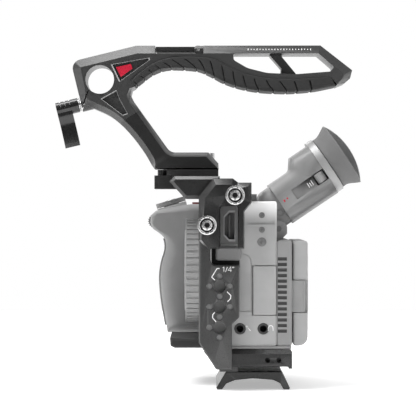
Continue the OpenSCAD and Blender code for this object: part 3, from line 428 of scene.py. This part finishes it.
# Upper and lower line of the rubber, in X and Z.
RUBBER_TOP = [(-40.7, 159.9), (-37.1, 163.6), (-30.5, 168.4), (-25.1, 171.0), (-18, 172.6), (-7, 172.9),
              (2.8, 171.7), (12, 167.3), (20, 163.9), (29, 162.0), (39, 161.2), (51, 161.4),
              (62.7, 162.0), (65.4, 161.2)]
RUBBER_UNDER = [(-38.6, 157.4), (-35, 160.4), (-29.5, 164.4), (-22.5, 166.9), (-14, 167.1), (-5, 166.2),
                (1, 163.7), (8.5, 159.8), (17.2, 156.9), (27, 155.1), (39, 154.4), (47, 154.6),
                (57, 155.6), (67.4, 157.7)]
RUBBER_CORNER = 3.2   # radius between its side and its underside
RUBBER_ALONG, RUBBER_AROUND = 420, 64   # faces along the handle and across it
RIB_PITCH = 5.8
RIB_END = 0.9         # share of the length that carries grooves
RIB_DEPTH = 0.6
# Faces deeper than this share of the depth get painted shade.
GROOVE_SHADE_FROM = 0.35    # share of the depth from which a groove looks black
RIB_SLANT = 0.6       # how far a groove leans along the handle for its height
GROOVE_HALF, GROOVE_ROUND = 0.09, 0.7   # half a groove's width as a share of the pitch, and its shape
RUBBER_CLEAR = 0.05   # how far the sides stay inside the CAD solid
END_ROWS, END_SHARE = 4, 0.25           # rows that round off each end, and how high the first one is


def groove(s):
    """0 on a rib, 1 in the middle of a groove; grooves are narrower than ribs."""
    phase = (s / RIB_PITCH) % 1.0
    return max(0.0, 1 - abs(phase - 0.5) / GROOVE_HALF) ** GROOVE_ROUND


def rubber_section(q, depth, half, corner):
    """Across the rubber at q, from one top edge down, round and up to the other: width, depth, way out."""
    h = 2 * min(q, 1 - q)
    r = min(corner, depth * 0.6)
    bend = 0.45 * math.pi * r
    d = h * (depth - r + bend + half - r)
    if d < depth - r:
        return half, d, (1, 0)
    if d < depth - r + bend:
        a = (d - (depth - r)) / bend * math.pi / 2
        return half - r + r * math.cos(a), depth - r + r * math.sin(a), (math.cos(a), math.sin(a))
    return half - r - (d - (depth - r + bend)), depth, (0, 1)


def make_rubber():
    low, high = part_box("handle_rubber")
    middle = (low[1] + high[1]) / 2 / MM
    half = (high[1] - low[1]) / 2 / MM - RUBBER_CLEAR
    along, around = RUBBER_ALONG, RUBBER_AROUND
    under_line = [spline(RUBBER_UNDER, i / 100) for i in range(101)]
    length = sum(math.dist(p, q) for p, q in zip(under_line, under_line[1:]))
    verts, groove_shaded = [], []
    for i in range(along + 1):
        t = i / along
        depth = math.dist(spline(RUBBER_TOP, t), spline(RUBBER_UNDER, t))
        cap = min(1.0, (min(t, 1 - t) * along / END_ROWS + END_SHARE)) ** 0.5
        share = groove(t * length) * min(1, depth / 5) * cap if t < RIB_END else 0
        for k in range(around + 1):
            y, z, out = rubber_section(k / around, depth, half, RUBBER_CORNER)
            # Each row of points leans along the handle, so that the grooves run along the rows.
            at = t + RIB_SLANT * z / length * min(1, 12 * t, 12 * (1 - t))
            top, under = spline(RUBBER_TOP, at), spline(RUBBER_UNDER, at)
            cut = share * min(1.0, max(0.0, (z - 1.0) / 0.6))
            groove_shaded.append(cut > GROOVE_SHADE_FROM)
            y, z = y - out[0] * cut * RIB_DEPTH, (z - out[1] * cut * RIB_DEPTH) / depth
            if cap < 1:
                y *= 0.9 + 0.1 * cap
            side = -1 if k < around / 2 else 1
            verts.append(((top[0] + (under[0] - top[0]) * z) * MM, (middle + side * y) * MM,
                          (top[1] + (under[1] - top[1]) * z) * MM))
    row = around + 1
    faces = [(i * row + k, i * row + k + 1, (i + 1) * row + k + 1, (i + 1) * row + k)
             for i in range(along) for k in range(around)]
    faces += [((i + 1) * row + around, i * row + around, i * row, (i + 1) * row) for i in range(along)]
    faces.append(tuple(range(row)))
    faces.append(tuple(along * row + k for k in range(row))[::-1])
    rubber = piece("handle_rubber_ribbed", verts, faces, "rig", "handle_grip", replaces=("handle_rubber",))
    # Faces deep in a groove get painted shade.
    rubber.data.materials.append(materials["groove_shade_black"])
    for face in rubber.data.polygons:
        face.material_index = int(sum(groove_shaded[i] for i in face.vertices) > 2)


make_rubber()


# ---------- eyecup ----------

EVF_TILT = math.radians(34)
EVF_CORNER = (44.3, 85.4)      # X and Z of the origin of the finder's own frame
EVF_Y = -34.0                  # middle of the finder across the camera
CUP_MID = 15.4                 # height of the cup's middle in the finder's frame
CUP_START = 32.25              # where the cup begins along the barrel
CUP_WIDE, CUP_HIGH = 18.2, 15.4
CUP_REACH = 6.1                # how far the rim leans out on the side of the hand grip
CUP_COUNT = 96
# Along the flare, over the rolled rim and back inside: distance, share of the oval, and rim reach.
CUP_RINGS = [(0, 0.935, 0), (0.6, 0.95, 0), (1.6, 0.935, 0), (3.2, 0.945, 0), (5, 1.0, 0.2),
             (7, 1.075, 0.5), (8.5, 1.125, 0.85), (9.2, 1.145, 1), (9.35, 1.13, 1), (9.0, 1.10, 1),
             (8, 1.05, 0.8), (6, 0.965, 0.45), (4, 0.9, 0.15), (2, 0.865, 0), (0.4, 0.855, 0),
             (0.05, 0.80, 0)]
RIM_LINE_STEPS = 8
# The painted highlight on the rim, a thin lighter tube, as (distance, share): its middle, and how far it swells
# either way.
RIM_LINE_MIDDLE, RIM_LINE_SWELL = (9.1, 1.115), (0.22, 0.013)


def finder_point(a, y, b):
    """A place in the finder's own frame, along, across and up the barrel, in the row frame."""
    x = EVF_CORNER[0] + a * math.cos(EVF_TILT) - b * math.sin(EVF_TILT)
    z = EVF_CORNER[1] + a * math.sin(EVF_TILT) + b * math.cos(EVF_TILT)
    return (x * MM, y * MM, z * MM)


def cup_ring(out, share, reach):
    """One oval ring of the cup. Its side towards the hand grip leans out by reach."""
    ring = []
    for k in range(CUP_COUNT):
        g = 2 * math.pi * k / CUP_COUNT
        lean = reach * CUP_REACH * max(0.0, math.cos(g)) ** 1.5
        ring.append(finder_point(CUP_START + out + lean, EVF_Y + CUP_WIDE * share * math.cos(g),
                                 CUP_MID + CUP_HIGH * share * math.sin(g)))
    return ring


def closed_rings(rings, count):
    """Quads between closed rings, where the last ring joins the first again."""
    last = (rings - 1) * count
    joint = [(k, (k + 1) % count, last + (k + 1) % count, last + k) for k in range(count)]
    return ring_faces(rings, count, closed_ends=False) + joint


def make_eyecup():
    verts = [v for row in CUP_RINGS for v in cup_ring(*row)]
    faces = closed_rings(len(CUP_RINGS), CUP_COUNT)
    cup = piece("eyecup_rubber", verts, faces, "evf", "cup_rubber", replaces=("eyecup",))
    smooth = cup.modifiers.new("smooth", "SUBSURF")
    smooth.levels = smooth.render_levels = 1
    rim_highlight = []
    for step in range(RIM_LINE_STEPS):
        a = 2 * math.pi * step / RIM_LINE_STEPS
        rim_highlight += cup_ring(RIM_LINE_MIDDLE[0] + RIM_LINE_SWELL[0] * math.cos(a),
                         RIM_LINE_MIDDLE[1] + RIM_LINE_SWELL[1] * math.sin(a), 1)
    # A lighter tube along the rim: a painted highlight.
    piece("eyecup_rim_highlight", rim_highlight, closed_rings(RIM_LINE_STEPS, CUP_COUNT), "evf", "cup_rubber", "wheel_grey")


make_eyecup()


# ---------- printed marks ----------

PRINT_LIFT = 0.02    # how far a mark stands out of its face
PRINT_THICK = 0.03   # how deep it goes into it


def side_place(y, tilt=0.0, pivot_z=0.0):
    """Places a mark's X and Z, in millimetres, on a face that looks to -Y and leans back by tilt."""
    def place(x, z, lift):
        up = z - pivot_z
        return Vector((x, y + up * math.sin(tilt) - lift * math.cos(tilt),
                       pivot_z + up * math.cos(tilt) + lift * math.sin(tilt))) * MM
    return place


def finder_place(y):
    def place(a, b, lift):
        return Vector(finder_point(a, y - lift, b))
    return place


def stroke(place, points, width, verts, faces):
    """One brush line of even width through the points, mitred at its bends."""
    def turn(v):
        return Vector((-v.y, v.x)).normalized()
    pts = [Vector(p) for p in points]
    sides = []
    for i, p in enumerate(pts):
        before = turn(p - pts[i - 1]) if i else None
        after = turn(pts[i + 1] - p) if i < len(pts) - 1 else None
        n = (before + after).normalized() if before and after else (before or after)
        reach = 1 / max(0.5, n.dot(before or n))
        sides.append(n * reach * width / 2)
    start = len(verts)
    for p, n in zip(pts, sides):
        for q in (p - n, p + n):
            for lift in (-PRINT_THICK, PRINT_LIFT):
                verts.append(place(q.x, q.y, lift))
    for i in range(len(pts) - 1):
        a, b = start + 4 * i, start + 4 * i + 4
        faces += [(a, a + 1, b + 1, b), (a + 2, b + 2, b + 3, a + 3), (a + 1, a + 3, b + 3, b + 1),
                  (a, b, b + 2, a + 2)]
    for a in (start, start + 4 * (len(pts) - 1)):
        faces.append((a, a + 1, a + 3, a + 2))


def print_mark(name, place, lines, width, body, slot, material="print_white"):
    verts, faces = [], []
    for points in lines:
        stroke(place, points, width, verts, faces)
    return piece(name, verts, faces, body, slot, material, smooth=False)


def arc(x, z, r, start, end, steps=10):
    return [(x + r * math.cos(math.radians(start + (end - start) * k / steps)),
             z + r * math.sin(math.radians(start + (end - start) * k / steps))) for k in range(steps + 1)]


# Marks on the plate and the handle have their places in X and Z, those on the finder along and up it.
SCALE_COUNT, SCALE_START, SCALE_PITCH = 22, 21.2, 1.57   # the tick marks on the handle's chamfer
SCALE_CHAMFER, SCALE_UP = 4.4, 3.1                       # drop of the chamfer, and the marks' height on it
MIC_X, PHONE_X = 20.0, 31.6


def make_prints():
    plate = side_place(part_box("cage_side_plate")[0][1] / MM)
    print_mark("plate_chevrons", plate, [
        [(5.9, 62.4), (4.6, 62.4), (1.9, 58.0), (3.5, 56.5)],
        [(9.7, 50.6), (11.6, 48.7), (11.5, 47.1), (9.9, 45.5)],
        [(3.5, 40.1), (2.4, 38.9), (2.3, 37.4), (4.1, 35.2)]], 0.42, "rig", "black_anodised")
    print_mark("plate_size_mark", plate, [
        [(7.5, 62.7), (8.1, 63.2), (8.1, 60.8)],
        [(8.9, 60.6), (9.9, 63.3)],
        [(11.6, 60.7), (11.6, 63.3), (10.3, 61.5), (12.1, 61.5)],
        [(12.6, 63.3), (12.6, 62.6)], [(13.1, 63.3), (13.1, 62.6)]], 0.3, "rig", "black_anodised")
    case = side_place(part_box("front_casing")[0][1] / MM)
    print_mark("microphone_mark", case, [[(MIC_X, 32.2), (MIC_X + 1.8, 30.2)]], 0.45,
               "rig", "casing_silver")
    print_mark("microphone_mark_head", case, [[(MIC_X - 0.45, 32.75), (MIC_X + 0.35, 31.85)]], 0.95,
               "rig", "casing_silver")
    print_mark("headphone_mark", case, [
        arc(PHONE_X + 0.55, 31.8, 1.15, -20, 200), [(PHONE_X - 0.65, 31.6), (PHONE_X - 0.65, 30.2)],
        [(PHONE_X + 1.75, 31.6), (PHONE_X + 1.75, 30.2)]], 0.42, "rig", "casing_silver")
    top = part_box("handle_head")
    foot = top[1][2] / MM - SCALE_CHAMFER
    lean = side_place(top[0][1] / MM, math.radians(45), foot)
    middle = foot + SCALE_UP
    marks = []
    for k in range(SCALE_COUNT):
        x = SCALE_START + k * SCALE_PITCH
        half = (0.9 if k % 3 else 1.3) / 2
        marks.append([(x, middle - half), (x, middle + half)])
    print_mark("handle_scale_marks", lean, marks, 0.42, "rig", "handle_anodised")
    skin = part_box("evf_barrel")[0][1] / MM
    recess = skin + 0.9
    print_mark("finder_ticks", finder_place(skin), [[(4.4, 12.0), (4.4, 12.9)], [(2.5, 11.6), (2.5, 12.9)]],
               0.7, "evf", "finder_grey", "accent_red")
    scale = [[(17.2 + 1.2 * k, 10.6), (17.2 + 1.2 * k, 13.4 - 0.7 * (k % 2))] for k in range(3)]
    print_mark("finder_scale", finder_place(recess), scale, 0.34, "evf", "finder_grey")


make_prints()


# ---------- turned buttons and knobs of the camera body ----------

def lathe(name, profile, place, axis, body, slot, material=None, count=40, ribs=0, rib_depth=0.0):
    """A turned piece. profile is (radius, height), from the foot out to the middle of its face.

    ribs cuts that many grooves into the wide part of the profile.
    """
    verts = []
    frame_of = axis.to_track_quat("Z", "Y").to_matrix()
    for r, h in profile:
        for k in range(count):
            g = 2 * math.pi * k / count
            cut = rib_depth if ribs and r > 0.8 * profile[0][0] and math.cos(g * ribs) > 0.3 else 0
            local = Vector(((r - cut) * math.cos(g), (r - cut) * math.sin(g), h))
            verts.append((Vector(place) + frame_of @ local) * MM)
    return piece(name, verts, ring_faces(len(profile), count), body, slot, material)


def button_profile(r, h, dish=0.0):
    """A round button of radius r that stands out by h, with a soft edge and a dished face."""
    soft = min(0.35, r * 0.2)
    return [(r, -0.3), (r, h - soft), (r - 0.3 * soft, h - 0.3 * soft), (r - soft, h),
            (r * 0.6, h - dish * 0.5), (0.02, h - dish)]


JOYSTICK = [(3.6, -0.2), (3.6, 0.5), (2.2, 0.9), (1.7, 1.4), (2.2, 1.9), (2.1, 2.4), (1.2, 2.2), (0.02, 2.1)]
WHEEL_PAD = [(6.2, -0.3), (6.2, 0.9), (5.7, 1.3), (4.2, 1.3), (3.8, 0.9), (3.4, 0.9), (3.2, 1.2), (0.02, 1.3)]
RELEASE_COLLAR = [(4.6, -0.2), (4.6, 0.5), (4.2, 0.8), (3.8, 0.8), (3.75, -0.2)]
DIAL_TO_SHELF = 2.7   # from the least X of the control dial to the face with the rear buttons
BACK, UP, FORWARD, PORT = Vector((1, 0, 0)), Vector((0, 0, 1)), Vector((-1, 0, 0)), Vector((0, -1, 0))


def body_button(name, profile, place, axis):
    lathe(name, profile, place, axis, "rig", "button_metal", "dial_dark")


def make_controls():
    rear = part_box("rear_casing")[1][0] / MM
    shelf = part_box("control_dial")[0][0] / MM + DIAL_TO_SHELF
    for k, (y, z) in enumerate([(-9, 90.5), (-9, 83.5), (1, 90.5)]):
        body_button(f"rear_button_{k}", button_profile(2.1, 0.7, 0.15), (shelf, y, z), BACK)
    lathe("joystick", JOYSTICK, (shelf, 9, 87), BACK, "rig", "dial_dark")
    for k, z in enumerate([71, 63.5, 33.5, 27.5]):
        body_button(f"side_button_{k}", button_profile(2.0, 0.7, 0.15), (rear, 30.5, z), BACK)
    lathe("wheel_pad", WHEEL_PAD, (rear, 30.2, 49), BACK, "rig", "dial_dark", count=72, ribs=36, rib_depth=0.25)
    release = (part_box("front_casing")[0][0] / MM, 24.5, 47)
    body_button("lens_release", button_profile(3.6, 1.6, 0.4), release, FORWARD)
    lathe("release_collar", RELEASE_COLLAR, release, FORWARD, "rig", "steel_mount")
    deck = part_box("top_deck")[1][2] / MM
    for k, y in enumerate([14, 22]):
        body_button(f"deck_button_{k}", button_profile(2.3, 0.8, 0.2), (26, y, deck), UP)
    lathe("deck_lamp", button_profile(0.9, 0.3), (31.5, 30, deck), UP, "rig", "record_red")


make_controls()


# ---------- small fittings of the port side ----------

def prism(name, outline, y0, y1, body, slot, material=None, hole=None):
    """A plate from y0 to y1 with an outline in X and Z. It is a frame if hole gives a second outline."""
    n = len(outline)

    def band(a, b):
        return [(a + k, a + (k + 1) % n, b + (k + 1) % n, b + k) for k in range(n)]

    loops = [outline] if hole is None else [outline, hole]
    verts = [Vector((x, y, z)) * MM for loop in loops for y in (y0, y1) for x, z in loop]
    if hole is None:
        faces = band(0, n) + [tuple(range(n)), tuple(range(n, 2 * n))]
    else:
        faces = band(0, n) + band(2 * n, 3 * n) + band(0, 2 * n) + band(n, 3 * n)
    return piece(name, verts, faces, body, slot, material, smooth=False)


def circle(x, z, r, count=48):
    turn = [2 * math.pi * k / count for k in range(count)]
    return [(x + r * math.cos(g), z + r * math.sin(g)) for g in turn]


def rectangle(x0, x1, z0, z1):
    return [(x0, z0), (x1, z0), (x1, z1), (x0, z1)]


SOCKET_X, SOCKET_Z = 11.0, 84.0   # middle of the video socket
BOLT_REACH = 4.9                  # from the edge of a bracket bolt's head to its middle
# The black ring in a bolt's head is painted shadow in the gap round it.
BOLT_SHADE_RING = (3.58, 2.72)           # radii of the dark ring in its head
HEX_R = 1.45                      # corner radius of its hexagon socket
PLUG_R = 1.45
THREAD_X, THREADS_Z = 5.86, (53.2, 42.75, 32.3)
PIN_X, PIN_Z = 5.25, 5.22         # from a thread to the locating holes beside and above it
PIN_HOLES = [(THREAD_X + dx, z + dz) for z in THREADS_Z for dx, dz in ((-PIN_X, 0), (0, PIN_Z))]
PIN_HOLES += [(THREAD_X + PIN_X, THREADS_Z[0]), (THREAD_X + PIN_X, THREADS_Z[1]),
              (THREAD_X, THREADS_Z[2] - PIN_Z)]


def socket_outline(share):
    """The video socket's mouth, with its slanted edge on the left, scaled by share."""
    wide, slim, high, low = 2.8 * share, 0.2 * share, 7.4 * share, 4.6 * share
    left, mid, right = SOCKET_X - wide, SOCKET_X - slim, SOCKET_X + wide
    return [(left, SOCKET_Z - low), (mid, SOCKET_Z - high), (right, SOCKET_Z - high),
            (right, SOCKET_Z + high), (mid, SOCKET_Z + high), (left, SOCKET_Z + low)]


# The mouths of the two pockets in the handle head, and how far a rim goes out and in from them.
POCKET_UPPER = [(-51, 168.8), (-46.7, 159.8), (-30.6, 171.4), (-31.2, 172.4)]
POCKET_LOWER = [(-48.4, 155.2), (-56.4, 150.7), (-44.9, 142), (-42.4, 142.9), (-46.6, 150.6)]
RIM_OUT, RIM_IN = 0.02, 0.045
RIM_HALF = 0.02


def make_pocket_rims():
    """Light grey lines along the machined edges of the pockets in the handle head."""
    low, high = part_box("handle_head")
    for k, outline in enumerate((POCKET_UPPER, POCKET_LOWER)):
        mx = sum(x for x, z in outline) / len(outline)
        mz = sum(z for x, z in outline) / len(outline)
        outer = [(x + (x - mx) * RIM_OUT, z + (z - mz) * RIM_OUT) for x, z in outline]
        inner = [(x - (x - mx) * RIM_IN, z - (z - mz) * RIM_IN) for x, z in outline]
        for side, y in (("near", low[1] / MM), ("far", high[1] / MM)):
            prism(f"pocket_rim_{k}_{side}", outer, y - RIM_HALF, y + RIM_HALF, "rig", "handle_anodised",
                  "wheel_grey", hole=inner)


def make_port_side():
    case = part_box("front_casing")[0][1] / MM
    # A black sheet behind the port flap: painted shadow in the deep gap between flap, plate and casing.
    prism("flap_painted_shadow", rectangle(1.9, 16.2, 62.5, 73.0), case - 0.08, case + 0.05,
          "rig", "flap_rubber", "painted_shade_black")
    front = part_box("hdmi_socket")[0][1] / MM
    prism("socket_rim", socket_outline(1.07), front - 0.1, front + 0.1, "rig", "socket_metal",
          hole=socket_outline(0.935))
    low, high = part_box("bracket_bolts")
    head = low[1] / MM
    lower_bolt = (low[0] / MM + BOLT_REACH, low[2] / MM + BOLT_REACH)
    upper_bolt = (high[0] / MM - BOLT_REACH, high[2] / MM - BOLT_REACH)
    for k, (x, z) in enumerate([lower_bolt, upper_bolt]):
        # Painted shade: a black ring in the gap round each bolt head and a black hexagon at the bottom of its
        # socket.
        prism(f"bolt_gap_shade_{k}", circle(x, z, BOLT_SHADE_RING[0]), head + 2.75, head + 2.88,
              "rig", "bolt_chrome", "painted_shade_black", hole=circle(x, z, BOLT_SHADE_RING[1]))
        prism(f"bolt_socket_shade_{k}", circle(x, z, HEX_R, 6), head + 2.1, head + 2.28,
              "rig", "bolt_chrome", "painted_shade_black")
    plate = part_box("cage_side_plate")[0][1] / MM
    for k, (x, z) in enumerate(PIN_HOLES):
        prism(f"pin_plug_{k}", circle(x, z, PLUG_R, 24), plate + 1.0, plate + 1.4,
              "rig", "screw_dark", "dial_dark")
    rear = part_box("rear_casing")[0][1] / MM
    prism("vent_screen", rectangle(35.5, 40.8, 28.6, 68.4), rear + 0.9, rear + 1.1,
          "rig", "casing_dark", "battery_plastic")
    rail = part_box("rail_block")[0][0] / MM
    prism("rail_step", rectangle(-24.0, rail + 1, 110.6, 113.5), -12, 0, "rig", "black_anodised")
    neck_screw = [(2.3, -0.3), (2.3, 0.06), (2.1, 0.12), (1.1, 0.12), (1.05, -0.15), (0.02, -0.15)]
    lathe("finder_neck_screw", neck_screw, (37.5, EVF_Y - 12.8, 90.9), PORT, "evf", "finder_grey", "dial_dark")


make_port_side()
make_pocket_rims()


# ---------- body cap and monitor back ----------

CAP_RING = [(21.5, -0.1), (21.5, 0.25), (21.2, 0.4), (20.3, 0.4), (20.0, 0.25), (20.0, -0.1)]
CAP_DISC = [(16.5, -0.1), (16.5, 0.2), (16.2, 0.35), (14, 0.3), (0.02, 0.25)]


def make_cap_face():
    low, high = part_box("body_cap")
    place = (low[0] / MM, (low[1] + high[1]) / 2 / MM, (low[2] + high[2]) / 2 / MM)
    lathe("cap_ring", CAP_RING, place, FORWARD, "cap", "cap_plastic", count=128)
    lathe("cap_disc", CAP_DISC, place, FORWARD, "cap", "cap_plastic", count=128)


FRAME_INSET, FRAME_CORNER = 6, 3   # the raised frame on the monitor's back
FRAME_RINGS = [(-0.1, 1.0), (0.25, 1.0), (0.25, 0.75), (-0.1, 0.75)]   # height and share of the corner
RIB_STEP = 3.2
BOX_FACES = [(0, 1, 3, 2), (4, 5, 7, 6), (0, 1, 5, 4), (2, 3, 7, 6), (0, 2, 6, 4), (1, 3, 7, 5)]


def make_monitor_back():
    low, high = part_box("lcd_housing")
    x = high[0] / MM
    y0, z0 = low[1] / MM + FRAME_INSET, low[2] / MM + FRAME_INSET
    y1, z1 = high[1] / MM - FRAME_INSET, high[2] / MM - FRAME_INSET
    r = FRAME_CORNER
    corners = [(y1 - r, z1 - r, 0), (y0 + r, z1 - r, 90), (y0 + r, z0 + r, 180), (y1 - r, z0 + r, 270)]
    verts = []
    for height, share in FRAME_RINGS:
        for y, z, start in corners:
            for g in range(0, 91, 15):
                a = math.radians(start + g)
                place = (x + height, y + r * share * math.cos(a), z + r * share * math.sin(a))
                verts.append(Vector(place) * MM)
    count = len(verts) // len(FRAME_RINGS)
    faces = []
    for k in range(len(FRAME_RINGS)):
        a, b = k * count, (k + 1) % len(FRAME_RINGS) * count
        faces += [(a + j, a + (j + 1) % count, b + (j + 1) % count, b + j) for j in range(count)]
    piece("monitor_back_frame", verts, faces, "lcd", slots["lcd_housing"])
    for k in range(5):
        z = (z0 + z1) / 2 + (k - 2) * RIB_STEP
        bar = [Vector((x + d, y, z + h)) * MM
               for d in (-0.1, 0.3) for y in (y0 + 6, y0 + 16) for h in (-0.5, 0.5)]
        piece(f"monitor_rib_{k}", bar, BOX_FACES, "lcd", slots["lcd_housing"], smooth=False)


make_cap_face()
make_monitor_back()
